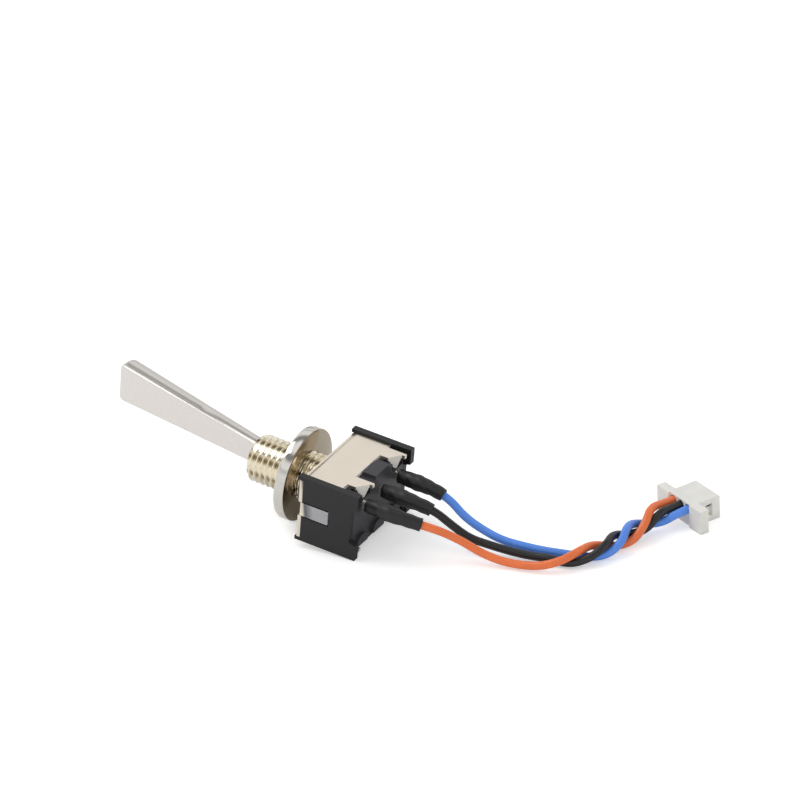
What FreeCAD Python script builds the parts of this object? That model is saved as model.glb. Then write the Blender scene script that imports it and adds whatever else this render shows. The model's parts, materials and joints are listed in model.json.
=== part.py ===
import FreeCAD, Part
import Sketcher
import math
import os
import re
from FreeCAD import Vector

# A panel toggle switch with a long paddle lever, three wires and a small plug, lying on its side.
# Its own frame has X along the throw, Y towards the lever's tip and Z up, with the origin on the
# bushing's axis at the front plate's front face. Lengths are in millimetres and angles in degrees.

os.makedirs("parts", exist_ok=True)
doc = FreeCAD.newDocument("ToggleSwitch")

dimensions = {
    # body
    "bodyLong": 13.2,
    "bodyTall": 8.8,
    "endWall": 0.85,
    "wallBack": 6.95,
    "earBack": 7.85,
    "earStart": 2.1,
    "earSlope": 0.3,
    "lipAhead": 0.25,
    "fitGap": 0.05,
    "seatGap": 0.02,
    # frame
    "plateThick": 0.45,
    "plateTall": 7.8,
    "bendRadius": 0.8,
    "flangeHigh": 4.1,
    "flangeDeep": 5.05,
    "tongueLong": 3.95,
    "tongueTall": 1.8,
    "tongueBend": 0.55,
    "slotMargin": 0.15,
    "fingerNear": -4.35,
    "fingerFar": 3.2,
    "fingerWide": 1.95,
    "fingerBack": 7.6,
    "foldStart": 6.2,
    "foldEnd": 7.2,
    "foldTip": 0.45,
    "foldDrop": 1.2,
    # bushing and nut
    "threadMajor": 5.94,
    "bushingFront": 9.5,
    "bushingChamfer": 0.4,
    "reliefBehind": 0.4,
    "reliefAhead": 0.15,
    "reliefDeep": 0.35,
    "neckRadius": 2.7,
    "stakeRadius": 3.3,
    "stakeThick": 0.35,
    "mouthRadius": 2.25,
    "throatRadius": 1.75,
    "throatAhead": 1.3,
    "shoulderAhead": 0.3,
    "rearBore": 2.3,
    "keyReach": 2.3,
    "nutRadius": 5.76,
    "nutBack": 2.6,
    "nutThick": 1.35,
    "nutChamfer": 0.15,
    "nutPlay": 0.03,
    "wrenchWide": 0.9,
    "wrenchDeep": 0.5,
    "wrenchLong": 1.3,
    "wrenchTurn": 148,
    # lever
    "pivotAhead": 4.9,
    "throwAngle": 11.3,
    "leverReach": 26.85,
    "neckReach": 3.4,
    "paddleStart": 4.0,
    "stemRadius": 1.23,
    "paddleWideStart": 3.0,
    "paddleWideEnd": 5.33,
    "paddleThickStart": 1.54,
    "paddleThickEnd": 2.29,
    "tipRound": 0.55,
    "edgeRound": 0.22,
    "ballRadius": 1.9,
    "ballPlay": 0.1,
    "tailReach": 6.35,
    "tailRadius": 0.55,
    "tailBall": 0.8,
    "pinRadius": 0.5,
    "pinPlay": 0.03,
    "pinReach": 2.25,
    # slider and contacts
    "sliderLong": 6.0,
    "sliderFront": 0.95,
    "sliderTop": 2.75,
    "sliderBottom": 2.2,
    "sliderStep": 0.6,
    "sliderStepBack": 3.95,
    "slotDeep": 1.4,
    "cavityLong": 10.5,
    "coreBack": 4.6,
    "terminalPitch": 3.8,
    "terminalHigh": 1.8,
    "terminalThick": 0.5,
    "terminalTall": 1.0,
    "terminalBack": 9.4,
    "headRadius": 0.95,
    "headRise": 0.4,
    "contactLong": 5.0,
    "contactWide": 1.6,
    "contactThick": 0.3,
    "dimpleRadius": 0.4,
    "dimpleRise": 0.15,
    "springRadius": 0.55,
    "springWire": 0.18,
    "springBore": 0.72,
    "springTop": 2.5,
    "detentLow": 1.3,
    "detentBall": 0.5,
    "detentSpring": 0.34,
    "notchDeep": 0.15,
    # base
    "blockNear": -1.0,
    "blockFar": 2.2,
    "blockGap": 0.2,
    "padWide": 2.5,
    "padTop": 1.7,
    "padRise": 0.4,
    # sleeves and wires
    "wireDiameter": 1.0,
    "conductorRadius": 0.3,
    "sleeveRadius": 0.92,
    "sleeveBore": 0.64,
    "sleeveFront": 7.3,
    "orangeSleeve": 7.0,
    "blackSleeve": 6.4,
    "blueSleeve": 6.0,
    # plug
    "plugAcross": 18.28,
    "plugBack": -48.1,
    "plugTurn": -26,
    "plugLong": 4.0,
    "plugWide": 4.6,
    "plugTall": 3.0,
    "plugPitch": 1.4,
    "plugHoleHigh": 2.15,
    "plugHole": 0.6,
    "plugHoleDeep": 3.0,
    "pinHole": 0.7,
    "wingOut": 1.9,
    "wingLong": 1.2,
    "wingBack": 0.3,
    "latchDeep": 0.45,
    "latchLong": 0.9,
    "latchTall": 1.6,
    "crimpStart": 1.2,
    "crimpLong": 1.6,
    "crimpRadius": 0.5,
    "crimpBore": 0.3,
}

sheet = doc.addObject("Spreadsheet::Sheet", "Sizes")
for row, (alias, value) in enumerate(dimensions.items(), start=1):
    sheet.set(f"A{row}", str(value))
    sheet.setAlias(f"A{row}", alias)
doc.recompute()

# Lying down, the nut's rim and the two lower rear ears touch the surface, so the nose points up.
tilt = "atan2(nutRadius - bodyTall / 2; nutBack + nutChamfer + earBack)"
rise = f"nutRadius * cos({tilt}) - (nutBack + nutChamfer) * sin({tilt})"
middle = f"(pivotAhead + leverReach * cos(throwAngle) - terminalBack) / 2 * cos({tilt})"
lying = f"placement(vector(0; -({middle}); {rise}); rotation(vector(1; 0; 0); {tilt}))"

parts = []


def bound(formula):
    # A formula written with plain dimension names, as an expression on the sheet.
    return re.sub(r"[A-Za-z]+", lambda word: ("Sizes." if word[0] in dimensions else "") + word[0], formula)


def number(formula):
    return float(sheet.evalExpression(bound(formula)))


def bind(item, path, formula):
    item.setExpression(path, bound(formula))


def keep(item, label, place=lying):
    # Names a finished sub-part and gives it its place.
    item.Label = label
    if place:
        bind(item, "Placement", place)
    parts.append(item)
    return item


def newBody(name):
    body = doc.addObject("PartDesign::Body", name)
    doc.recompute()
    return body


def newSketch(body, role, offset=None):
    sketch = body.newObject("Sketcher::SketchObject", "Sketch")
    plane = [item for item in body.Origin.OriginFeatures if item.Role == role][0]
    sketch.AttachmentSupport = [(plane, "")]
    sketch.MapMode = "FlatFace"
    if offset:
        bind(sketch, "AttachmentOffset", offset)
    return sketch


def addOutline(sketch, corners):
    # A closed outline. A corner is (x, y), or (x, y, radius, turn) where the edge that reaches it is an
    # arc, which turns left for +1 and right for -1.
    first = sketch.GeometryCount
    count = len(corners)
    places = [(number(corner[0]), number(corner[1])) for corner in corners]
    ends = []
    for index, corner in enumerate(corners):
        start = places[index - 1]
        end = places[index]
        if len(corner) == 2:
            sketch.addGeometry(Part.LineSegment(Vector(*start, 0), Vector(*end, 0)))
            ends.append((1, 2))
            continue
        radius, turn = number(corner[2]), corner[3]
        across, along = end[0] - start[0], end[1] - start[1]
        chord = math.hypot(across, along)
        depth = math.sqrt(max(radius * radius - chord * chord / 4, 0))
        centre = ((start[0] + end[0]) / 2 - turn * along / chord * depth,
                  (start[1] + end[1]) / 2 + turn * across / chord * depth)
        angles = [math.atan2(place[1] - centre[1], place[0] - centre[0]) for place in (start, end)]
        if turn < 0:
            angles.reverse()
        circle = Part.Circle(Vector(*centre, 0), Vector(0, 0, 1), radius)
        sketch.addGeometry(Part.ArcOfCircle(circle, *angles))
        ends.append((1, 2) if turn > 0 else (2, 1))
    for index, corner in enumerate(corners):
        edge, after = first + index, first + (index + 1) % count
        sketch.addConstraint(
            Sketcher.Constraint("Coincident", edge, ends[index][1], after, ends[(index + 1) % count][0]))
        for kind, axis in (("DistanceX", 0), ("DistanceY", 1)):
            datum = sketch.addConstraint(
                Sketcher.Constraint(kind, -1, 1, edge, ends[index][1], places[index][axis]))
            bind(sketch, f"Constraints[{datum}]", corner[axis])
        if len(corner) > 2:
            datum = sketch.addConstraint(Sketcher.Constraint("Radius", edge, number(corner[2])))
            bind(sketch, f"Constraints[{datum}]", corner[2])


def addCircle(sketch, x, y, radius):
    index = sketch.GeometryCount
    centre = Vector(number(x), number(y), 0)
    sketch.addGeometry(Part.Circle(centre, Vector(0, 0, 1), number(radius)))
    for kind, formula in (("DistanceX", x), ("DistanceY", y)):
        datum = sketch.addConstraint(Sketcher.Constraint(kind, -1, 1, index, 3, number(formula)))
        bind(sketch, f"Constraints[{datum}]", formula)
    datum = sketch.addConstraint(Sketcher.Constraint("Radius", index, number(radius)))
    bind(sketch, f"Constraints[{datum}]", radius)


def rectangle(left, low, right, high):
    return [(left, low), (right, low), (right, high), (left, high)]


def extrude(body, kind, sketch, length, midplane=False, reverse=False):
    # A pad or pocket; a cut that removes nothing, or a pad that adds nothing, stops the build.
    before = body.Shape.Volume if body.Tip else 0
    feature = body.newObject("PartDesign::" + kind, kind)
    feature.Profile = sketch
    bind(feature, "Length", length)
    feature.Midplane = midplane
    feature.Reversed = reverse
    doc.recompute()
    change = body.Shape.Volume - before
    if (change > -1e-6) == (kind == "Pocket"):
        raise ValueError(f"{body.Name}: {kind} of {sketch.Name} changes the volume by {change}")
    return feature


def revolve(body, sketch, axis="V_Axis"):
    feature = body.newObject("PartDesign::Revolution", "Revolution")
    feature.Profile = sketch
    feature.ReferenceAxis = (sketch, [axis])
    feature.Angle = 360
    doc.recompute()
    return feature


def turnAround(body, features, role="Y_Axis", copies=2):
    axis = [item for item in body.Origin.OriginFeatures if item.Role == role][0]
    pattern = body.newObject("PartDesign::PolarPattern", "PolarPattern")
    pattern.Originals = features
    pattern.Axis = (axis, [""])
    pattern.Angle = 360
    pattern.Occurrences = copies
    body.Tip = pattern
    doc.recompute()
    return pattern


def mirror(body, features, role):
    plane = [item for item in body.Origin.OriginFeatures if item.Role == role][0]
    copy = body.newObject("PartDesign::Mirrored", "Mirrored")
    copy.Originals = features
    copy.MirrorPlane = (plane, [""])
    body.Tip = copy
    doc.recompute()
    return copy


def roundEdges(body, radius, wanted):
    # Fillets the edges whose middle point passes the test.
    base = body.Tip
    names = []
    for index, edge in enumerate(base.Shape.Edges, start=1):
        middlePoint = edge.valueAt((edge.FirstParameter + edge.LastParameter) / 2)
        if wanted(edge, middlePoint):
            names.append(f"Edge{index}")
    fillet = body.newObject("PartDesign::Fillet", "Fillet")
    fillet.Base = (base, names)
    bind(fillet, "Radius", radius)
    doc.recompute()
    return fillet


def makeBushing():
    # Turned from bar: thread outside at its major diameter, a cone mouth for the throw, a seat for the
    # lever's ball, two keyways for the hinge pin, and a rim staked over behind the plate.
    body = newBody("Bushing")
    sketch = newSketch(body, "XY_Plane")
    addOutline(sketch, [
        ("rearBore", "-(plateThick + stakeThick)"),
        ("neckRadius", "-(plateThick + stakeThick)"),
        ("stakeRadius", "-plateThick"),
        ("neckRadius", "-plateThick"),
        ("neckRadius", "0"),
        ("threadMajor / 2", "0"),
        ("threadMajor / 2", "nutBack + nutThick - reliefBehind"),
        ("threadMajor / 2 - reliefDeep", "nutBack + nutThick - reliefBehind"),
        ("threadMajor / 2 - reliefDeep", "nutBack + nutThick + reliefAhead"),
        ("threadMajor / 2", "nutBack + nutThick + reliefAhead"),
        ("threadMajor / 2", "bushingFront - bushingChamfer"),
        ("threadMajor / 2 - bushingChamfer", "bushingFront"),
        ("mouthRadius", "bushingFront"),
        ("throatRadius", "pivotAhead + throatAhead"),
        ("ballRadius + ballPlay", "pivotAhead + shoulderAhead"),
        ("ballRadius + ballPlay", "pivotAhead - ballRadius - ballPlay"),
        ("rearBore", "pivotAhead - ballRadius - ballPlay - (rearBore - ballRadius - ballPlay)"),
    ])
    revolve(body, sketch)
    half = "(pinRadius + pinPlay)"
    keyway = newSketch(body, "XY_Plane")
    addOutline(keyway, rectangle(f"-{half}", "-(plateThick + 2 * stakeThick)", half, "pivotAhead"))
    extrude(body, "Pocket", keyway, "2 * keyReach", midplane=True)
    keyEnd = newSketch(body, "XY_Plane")
    addCircle(keyEnd, "0", "pivotAhead", half)
    extrude(body, "Pocket", keyEnd, "2 * keyReach", midplane=True)
    return keep(body, "bushing")


def makeNut():
    # Round disc nut with two slots across the front rim for a pin wrench.
    body = newBody("Nut")
    sketch = newSketch(body, "XY_Plane")
    bore = "threadMajor / 2 + nutPlay"
    front = "nutBack + nutThick"
    addOutline(sketch, [
        (bore, "nutBack"),
        ("nutRadius - nutChamfer", "nutBack"),
        ("nutRadius", "nutBack + nutChamfer"),
        ("nutRadius", f"{front} - nutChamfer"),
        ("nutRadius - nutChamfer", front),
        (bore, front),
    ])
    revolve(body, sketch)
    slot = newSketch(body, "XY_Plane")
    addOutline(slot, rectangle("nutRadius - wrenchLong", f"{front} - wrenchDeep",
                               "nutRadius + wrenchLong", f"{front} + wrenchDeep"))
    cut = extrude(body, "Pocket", slot, "wrenchWide", midplane=True)
    turnAround(body, [cut])
    return keep(body, "panel_nut",
                f"{lying} * placement(vector(0; 0; 0); rotation(vector(0; 1; 0); wrenchTurn))")


def makeFrame():
    # One stamping: plate and flanges folded as a channel, a tongue folded into each end wall, and
    # fingers whose corners are folded down behind the base.
    body = newBody("Frame")
    channel = newSketch(body, "YZ_Plane")
    inner = "bendRadius - plateThick"
    addOutline(channel, [
        ("-flangeDeep", "flangeHigh"),
        ("-flangeDeep", "flangeHigh - plateThick"),
        ("-bendRadius", "flangeHigh - plateThick"),
        ("-plateThick", "flangeHigh - bendRadius", inner, -1),
        ("-plateThick", "-(flangeHigh - bendRadius)"),
        ("-bendRadius", "-(flangeHigh - plateThick)", inner, -1),
        ("-flangeDeep", "-(flangeHigh - plateThick)"),
        ("-flangeDeep", "-flangeHigh"),
        ("-bendRadius", "-flangeHigh"),
        ("0", "-(flangeHigh - bendRadius)", "bendRadius", 1),
        ("0", "flangeHigh - bendRadius"),
        ("-bendRadius", "flangeHigh", "bendRadius", 1),
    ])
    extrude(body, "Pad", channel, "bodyLong - 2 * (endWall + fitGap)", midplane=True)
    plate = newSketch(body, "XZ_Plane")
    addOutline(plate, rectangle("-bodyLong / 2", "-plateTall / 2", "bodyLong / 2", "plateTall / 2"))
    extrude(body, "Pad", plate, "plateThick")
    relief = newSketch(body, "XZ_Plane")
    reliefHalf = "(tongueTall / 2 + fitGap)"
    addOutline(relief, rectangle("bodyLong / 2 - endWall", f"-{reliefHalf}", "bodyLong / 2 + endWall", reliefHalf))
    notch = extrude(body, "Pocket", relief, "3 * plateThick", midplane=True)
    turnAround(body, [notch])
    tongue = newSketch(body, "XY_Plane")
    side = "bodyLong / 2"
    addOutline(tongue, [
        (side, "-tongueLong"),
        (side, "-tongueBend"),
        (f"{side} - tongueBend", "0", "tongueBend", 1),
        (f"{side} - 2 * endWall", "0"),
        (f"{side} - 2 * endWall", "-plateThick"),
        (f"{side} - tongueBend", "-plateThick"),
        (f"{side} - plateThick", "-tongueBend", "tongueBend - plateThick", -1),
        (f"{side} - plateThick", "-tongueLong"),
    ])
    fold = extrude(body, "Pad", tongue, "tongueTall", midplane=True)
    turnAround(body, [fold])
    for start in ("fingerNear", "fingerFar"):
        finger = newSketch(body, "XY_Plane",
                           "placement(vector(0; 0; flangeHigh - plateThick); rotation(vector(0; 0; 1); 0))")
        end = f"({start} + fingerWide)"
        addOutline(finger, [
            (start, "-foldStart"),
            (f"{end} - foldTip", "-foldEnd"),
            (f"{end} - foldTip", "-fingerBack"),
            (end, "-fingerBack"),
            (end, "-(flangeDeep - plateThick)"),
            (start, "-(flangeDeep - plateThick)"),
        ])
        strip = extrude(body, "Pad", finger, "plateThick")
        turnAround(body, [strip])
        foldAngle = "atan2(foldEnd - foldStart; fingerWide - foldTip)"
        foldLong = "sqrt((foldEnd - foldStart) ^ 2 + (fingerWide - foldTip) ^ 2)"
        corner = newSketch(body, "XZ_Plane",
                           f"placement(vector({start}; flangeHigh; foldStart);"
                           f" rotation(vector(0; 1; 0); -{foldAngle}))")
        addOutline(corner, [
            ("0", "-plateThick / 2"),
            (f"{foldLong} * 0.5", "-(plateThick + foldDrop)"),
            (f"{foldLong} * 0.68", "-(plateThick + foldDrop)"),
            (foldLong, "-plateThick / 2"),
        ])
        extrude(body, "Pad", corner, "plateThick", reverse=True)
    hole = newSketch(body, "XZ_Plane")
    addCircle(hole, "0", "0", "neckRadius + seatGap")
    extrude(body, "Pocket", hole, "3 * plateThick", midplane=True)
    return keep(body, "frame")


def makeCase():
    # Moulding with two end walls that stand proud of the frame, ears at the rear corners, a slot in each
    # wall for the frame's tongue, and a chamber for the slider.
    body = newBody("Case")
    wall = newSketch(body, "YZ_Plane", "placement(vector(0; 0; bodyLong / 2 - endWall); rotation(vector(0; 0; 1); 0))")
    top = "bodyTall / 2"
    lip = "(plateTall / 2 + fitGap)"
    addOutline(wall, [
        ("lipAhead", lip),
        ("lipAhead", top),
        ("-earBack", top),
        ("-earBack", "earStart + earSlope"),
        ("-wallBack", "earStart"),
        ("-wallBack", "-earStart"),
        ("-earBack", "-(earStart + earSlope)"),
        ("-earBack", f"-{top}"),
        ("lipAhead", f"-{top}"),
        ("lipAhead", f"-{lip}"),
        ("-plateThick", f"-{lip}"),
        ("-plateThick", lip),
    ])
    extrude(body, "Pad", wall, "endWall")
    slot = newSketch(body, "YZ_Plane", "placement(vector(0; 0; bodyLong / 2); rotation(vector(0; 0; 1); 0))")
    slotHalf = "(tongueTall / 2 + slotMargin)"
    addOutline(slot, rectangle("-(tongueLong + slotMargin)", f"-{slotHalf}", "plateThick", slotHalf))
    extrude(body, "Pocket", slot, "plateThick + fitGap")
    mirror(body, body.Group[1::2][:2], "YZ_Plane")
    core = newSketch(body, "YZ_Plane")
    coreTop = "(flangeHigh - plateThick - seatGap)"
    addOutline(core, [
        ("-(plateThick + seatGap)", f"-({coreTop} - bendRadius / 2)"),
        ("-(plateThick + seatGap)", f"{coreTop} - bendRadius / 2"),
        ("-(plateThick + seatGap + bendRadius / 2)", coreTop),
        ("-coreBack", coreTop),
        ("-coreBack", f"-{coreTop}"),
        ("-(plateThick + seatGap + bendRadius / 2)", f"-{coreTop}"),
    ])
    extrude(body, "Pad", core, "bodyLong - 2 * endWall", midplane=True)
    chamber = newSketch(body, "XZ_Plane")
    addOutline(chamber, rectangle("-cavityLong / 2", "-(sliderBottom + fitGap)", "cavityLong / 2", "sliderTop + fitGap"))
    extrude(body, "Pocket", chamber, "2 * coreBack + plateThick", midplane=True)
    rim = newSketch(body, "XZ_Plane")
    addCircle(rim, "0", "0", "stakeRadius + fitGap")
    extrude(body, "Pocket", rim, "2 * (plateThick + stakeThick + fitGap)", midplane=True)
    return keep(body, "case")


def makeBase():
    # Terminal carrier between the end walls: blocks that fill the frame's rear notches, recesses under
    # the folded corners, blank rounded pads where a second row would be, and the detent notches.
    body = newBody("Base")
    half = "(bodyLong / 2 - endWall - fitGap)"
    high = "(flangeHigh - plateThick - seatGap)"
    front = "(coreBack + seatGap)"
    block = newSketch(body, "XY_Plane")
    addOutline(block, rectangle(f"-{half}", "-wallBack", half, f"-{front}"))
    extrude(body, "Pad", block, f"2 * {high}", midplane=True)
    crown = newSketch(body, "XY_Plane")
    addOutline(crown, rectangle("blockNear", "-wallBack", "blockFar", "-(flangeDeep + blockGap)"))
    boss = extrude(body, "Pad", crown, "flangeHigh")
    turnAround(body, [boss])
    recessLow = "(flangeHigh - plateThick - foldDrop - fitGap)"
    for start in ("fingerNear", "fingerFar"):
        recess = newSketch(body, "XY_Plane", f"placement(vector(0; 0; {recessLow}); rotation(vector(0; 0; 1); 0))")
        addOutline(recess, rectangle(f"{start} - blockGap", "-(wallBack + plateThick)",
                                     f"{start} + fingerWide + blockGap", "-(foldStart - plateThick - blockGap)"))
        extrude(body, "Pocket", recess, "bodyTall", reverse=True)
    pads = newSketch(body, "XZ_Plane", "placement(vector(0; 0; wallBack); rotation(vector(0; 0; 1); 0))")
    for place in (-1, 0, 1):
        centre = f"{place} * terminalPitch"
        shoulder = "(padTop + padWide / 2)"
        addOutline(pads, [
            (f"{centre} - padWide / 2", f"-{high}"),
            (f"{centre} + padWide / 2", f"-{high}"),
            (f"{centre} + padWide / 2", f"-{shoulder}"),
            (f"{centre} - padWide / 2", f"-{shoulder}", "padWide * 0.6", 1),
        ])
    extrude(body, "Pad", pads, "padRise")
    tails = newSketch(body, "XZ_Plane")
    for place in (-1, 0, 1):
        centre = f"{place} * terminalPitch"
        wide = "(terminalThick / 2 + seatGap)"
        tall = "(terminalTall / 2 + seatGap)"
        addOutline(tails, rectangle(f"{centre} - {wide}", f"terminalHigh - {tall}",
                                    f"{centre} + {wide}", f"terminalHigh + {tall}"))
    extrude(body, "Pocket", tails, "2 * earBack", midplane=True)
    travel = "(tailReach * sin(throwAngle))"
    notches = newSketch(body, "XY_Plane", "placement(vector(0; 0; -detentLow); rotation(vector(0; 0; 1); 0))")
    for place in (-1, 0, 1):
        addCircle(notches, f"{place} * {travel}", f"-({front} - detentBall + notchDeep)", "detentBall")
    extrude(body, "Pocket", notches, "detentBall", midplane=True)
    return keep(body, "terminal_base")


def makeTerminal(label, place):
    # Stamped tail with a round contact head riveted on its inner end.
    tail = doc.addObject("Part::Box", "Tail")
    bind(tail, "Length", "terminalThick")
    bind(tail, "Width", "terminalBack - coreBack - seatGap")
    bind(tail, "Height", "terminalTall")
    bind(tail, "Placement",
         "placement(vector(-terminalThick / 2; -terminalBack; -terminalTall / 2); rotation(vector(0; 0; 1); 0))")
    head = doc.addObject("Part::Cylinder", "Head")
    bind(head, "Radius", "headRadius")
    bind(head, "Height", "headRise")
    bind(head, "Placement", "placement(vector(0; -(coreBack + seatGap); 0); rotation(vector(1; 0; 0); -90))")
    joined = doc.addObject("Part::Fuse", "Terminal")
    joined.Base = head
    joined.Tool = tail
    return keep(joined, label, f"{lying} * placement(vector({place} * terminalPitch; 0; terminalHigh);"
                               " rotation(vector(0; 0; 1); 0))")


def makeLever():
    # Turned in one piece: a slim cone for the paddle, a ball, and a tail with a ball end. Two flats milled
    # along the cone leave the paddle's convex edges.
    body = newBody("Lever")
    sketch = newSketch(body, "XY_Plane")
    start = "(paddleWideStart / 2)"
    tip = "(paddleWideEnd / 2)"
    addOutline(sketch, [
        ("0", "-(tailReach + tailBall)"),
        ("tailRadius", "-(tailReach - sqrt(tailBall ^ 2 - tailRadius ^ 2))", "tailBall", 1),
        ("tailRadius", "-sqrt(ballRadius ^ 2 - tailRadius ^ 2)"),
        ("stemRadius", "sqrt(ballRadius ^ 2 - stemRadius ^ 2)", "ballRadius", 1),
        ("stemRadius", f"paddleStart - 2 * ({start} - stemRadius)"),
        (start, "paddleStart"),
        (tip, "leverReach - tipRound"),
        (f"{tip} - tipRound", "leverReach", "tipRound * 1.05", 1),
        ("0", "leverReach"),
    ])
    revolve(body, sketch)
    flats = newSketch(body, "XY_Plane")
    for turn in (1, -1):
        addOutline(flats, [
            (f"{turn} * paddleThickStart / 2", "neckReach"),
            (f"{turn} * paddleWideEnd", "neckReach"),
            (f"{turn} * paddleWideEnd", "leverReach + tipRound"),
            (f"{turn} * paddleThickEnd / 2", "leverReach + tipRound"),
        ])
    extrude(body, "Pocket", flats, "2 * paddleWideEnd", midplane=True)
    hole = newSketch(body, "XY_Plane")
    addCircle(hole, "0", "0", "pinRadius + seatGap")
    extrude(body, "Pocket", hole, "3 * ballRadius", midplane=True)
    clear = number("neckReach") + 0.5
    high = number("leverReach")
    roundEdges(body, "edgeRound", lambda edge, middlePoint: clear < middlePoint.y <= high + 0.01
               and abs(middlePoint.x) > 0.4 and edge.Length > 1)
    return keep(body, "lever", f"{lying} * placement(vector(0; pivotAhead; 0); rotation(vector(0; 0; 1); -throwAngle))")


def makePin():
    pin = doc.addObject("Part::Cylinder", "Pin")
    bind(pin, "Radius", "pinRadius")
    bind(pin, "Height", "2 * pinReach")
    return keep(pin, "hinge_pin", f"{lying} * placement(vector(0; pivotAhead; -pinReach); rotation(vector(0; 0; 1); 0))")


# The slider starts where the lever's tail has carried it, away from the tip's side.
carried = f"{lying} * placement(vector(-tailReach * sin(throwAngle); 0; 0); rotation(vector(0; 0; 1); 0))"


def makeSlider():
    # Moulded carriage: a socket for the lever's tail, a bore for each spring and a bed for the contact.
    body = newBody("Slider")
    section = newSketch(body, "YZ_Plane")
    low = "(coreBack + seatGap - fitGap)"
    addOutline(section, [
        ("-sliderFront", "sliderTop"),
        ("-sliderStepBack", "sliderTop"),
        ("-sliderStepBack", "sliderStep"),
        (f"-{low}", "sliderStep"),
        (f"-{low}", "-sliderBottom"),
        ("-sliderFront", "-sliderBottom"),
    ])
    extrude(body, "Pad", section, "sliderLong", midplane=True)
    socket = newSketch(body, "XZ_Plane", "placement(vector(0; 0; sliderFront); rotation(vector(0; 0; 1); 0))")
    reach = "(tailBall + fitGap)"
    addOutline(socket, rectangle(f"-{reach}", f"-{reach}", reach, reach))
    extrude(body, "Pocket", socket, "slotDeep", reverse=True)
    bed = newSketch(body, "XZ_Plane", "placement(vector(0; 0; sliderStepBack); rotation(vector(0; 0; 1); 0))")
    addOutline(bed, rectangle("-(contactLong / 2 + fitGap)", "terminalHigh - contactWide / 2 - fitGap",
                              "contactLong / 2 + fitGap", "terminalHigh + contactWide / 2 + fitGap"))
    extrude(body, "Pocket", bed, "1.5 * contactThick")
    bore = newSketch(body, "XZ_Plane", "placement(vector(0; 0; springTop); rotation(vector(0; 0; 1); 0))")
    addCircle(bore, "0", "terminalHigh", "springBore")
    addCircle(bore, "0", "-detentLow", "detentBall + fitGap")
    extrude(body, "Pocket", bore, "coreBack", reverse=True)
    return keep(body, "slider", carried)


def makeContact():
    # Bridge strip with two dimples that join neighbouring terminal heads.
    body = newBody("Contact")
    floor = "(coreBack + seatGap - headRise - seatGap - dimpleRise)"
    strip = newSketch(body, "XZ_Plane", f"placement(vector(0; 0; {floor}); rotation(vector(0; 0; 1); 0))")
    addOutline(strip, rectangle("-contactLong / 2", "terminalHigh - contactWide / 2",
                                "contactLong / 2", "terminalHigh + contactWide / 2"))
    extrude(body, "Pad", strip, "contactThick", reverse=True)
    dimples = newSketch(body, "XZ_Plane", f"placement(vector(0; 0; {floor}); rotation(vector(0; 0; 1); 0))")
    for place in (-1, 1):
        addCircle(dimples, f"{place} * terminalPitch / 2", "terminalHigh", "dimpleRadius")
    extrude(body, "Pad", dimples, "dimpleRise")
    return keep(body, "bridge_contact", carried)


def makeSpring(label, coil, start, end, high):
    # Coil of round wire from start to end along Y, both measured back from the plate's front face.
    item = doc.addObject("Part::Feature", "Spring")
    wire = number("springWire")
    length = number(end) - number(start) - wire
    path = Part.makeHelix(length / 3, length, coil)
    ring = Part.Wire(Part.makeCircle(wire / 2, Vector(coil, 0, 0), Vector(0, 1, 0)))
    item.Shape = Part.Wire(path).makePipeShell([ring], True, True)
    return keep(item, label, f"{carried} * placement(vector(0; -({end}) + springWire / 2; {high});"
                             " rotation(vector(1; 0; 0); -90))")


def makeDetentBall():
    ball = doc.addObject("Part::Sphere", "DetentBall")
    bind(ball, "Radius", "detentBall - seatGap")
    return keep(ball, "detent_ball", f"{carried} * placement(vector(0; -(coreBack + seatGap - detentBall); -detentLow);"
                                     " rotation(vector(0; 0; 1); 0))")


# Each wire's route, from the terminal's end to inside the plug, in the frame at rest. They hang down to
# the surface side by side and then twist loosely round each other.
wireRoutes = {
    "orange": [
        (-3.80, -20.38, 5.95), (-3.80, -22.76, 5.65), (-2.98, -25.15, 4.82), (-1.96, -27.43, 3.92),
        (-1.15, -29.63, 2.75), (-0.66, -31.82, 1.49), (-0.22, -34.22, 0.76), (0.23, -36.77, 0.63),
        (0.72, -39.24, 0.92), (2.05, -41.20, 1.53), (4.38, -42.11, 1.80), (6.84, -42.48, 1.40),
        (8.58, -44.12, 0.52), (10.38, -45.93, 0.77), (12.42, -46.49, 2.25), (14.95, -45.87, 2.95),
        (17.72, -46.28, 2.15), (19.97, -47.37, 2.15),
    ],
    "black": [
        (0.00, -20.38, 5.95), (0.00, -22.76, 5.65), (0.59, -25.11, 4.71), (0.75, -27.19, 3.29),
        (0.94, -29.34, 2.00), (1.48, -31.64, 1.41), (1.94, -34.09, 0.95), (2.36, -36.58, 0.72),
        (2.77, -39.01, 0.79), (3.03, -41.45, 0.47), (4.47, -43.47, 1.09), (6.64, -44.36, 1.95),
        (9.04, -43.90, 1.90), (11.06, -44.57, 0.95), (12.86, -46.33, 1.03), (14.97, -46.90, 2.37),
        (17.11, -47.53, 2.15), (19.35, -48.63, 2.15),
    ],
    "blue": [
        (3.80, -20.38, 5.95), (3.80, -22.76, 5.65), (4.03, -25.14, 4.53), (3.55, -27.28, 3.00),
        (3.37, -29.63, 2.02), (3.45, -32.21, 1.14), (3.77, -34.80, 0.86), (4.19, -37.39, 0.64),
        (4.73, -40.02, 0.60), (5.25, -42.65, 0.52), (6.56, -44.62, 0.69), (8.46, -45.46, 1.66),
        (10.60, -44.94, 2.28), (12.46, -44.73, 1.79), (14.07, -45.51, 1.08), (15.25, -47.06, 0.96),
        (16.49, -48.79, 2.15), (18.74, -49.89, 2.15),
    ],
}


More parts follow.
